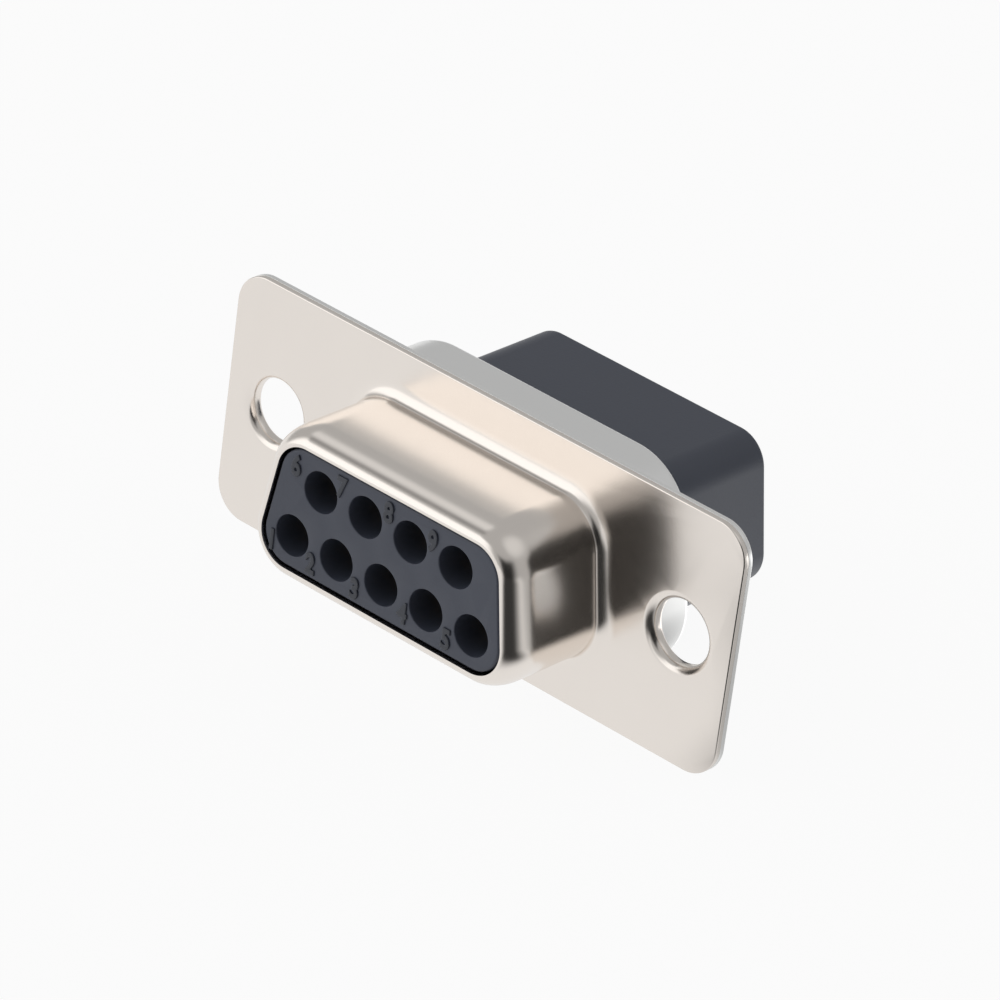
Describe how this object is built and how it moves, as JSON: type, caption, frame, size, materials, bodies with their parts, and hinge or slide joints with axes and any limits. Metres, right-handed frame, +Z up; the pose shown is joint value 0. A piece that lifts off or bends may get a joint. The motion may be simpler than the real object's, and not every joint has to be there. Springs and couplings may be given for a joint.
{
  "type": "d-subminiature socket connector",
  "caption": "Flanged D-shaped socket connector with a drawn metal shroud, a rear shell, moulded insulators and crimp contacts, fixed by its flange.",
  "frame": {"origin": "centre of the flange's front face, midway between the mounting holes", "axes": "+X right seen from the mating side, +Y towards the cable side, +Z up, with the wide row of contacts low"},
  "size_m": [0.031, 0.0175, 0.0126],
  "materials": {
    "front_plating": "polished warm nickel plating on drawn steel",
    "rear_plating": "satin tin plating on drawn steel",
    "insulator_plastic": "satin moulded thermoplastic",
    "contact_metal": "gold flash over rolled strip"
  },
  "bodies": {
    "root": {"front_shell": "front_plating", "rear_shell": "rear_plating", "front_insulator": "insulator_plastic", "rear_insulator": "insulator_plastic", "contact_1": "contact_metal", "contact_2": "contact_metal", "contact_3": "contact_metal", "contact_4": "contact_metal", "contact_5": "contact_metal", "contact_6": "contact_metal", "contact_7": "contact_metal", "contact_8": "contact_metal", "contact_9": "contact_metal"}
  },
  "joints": []
}
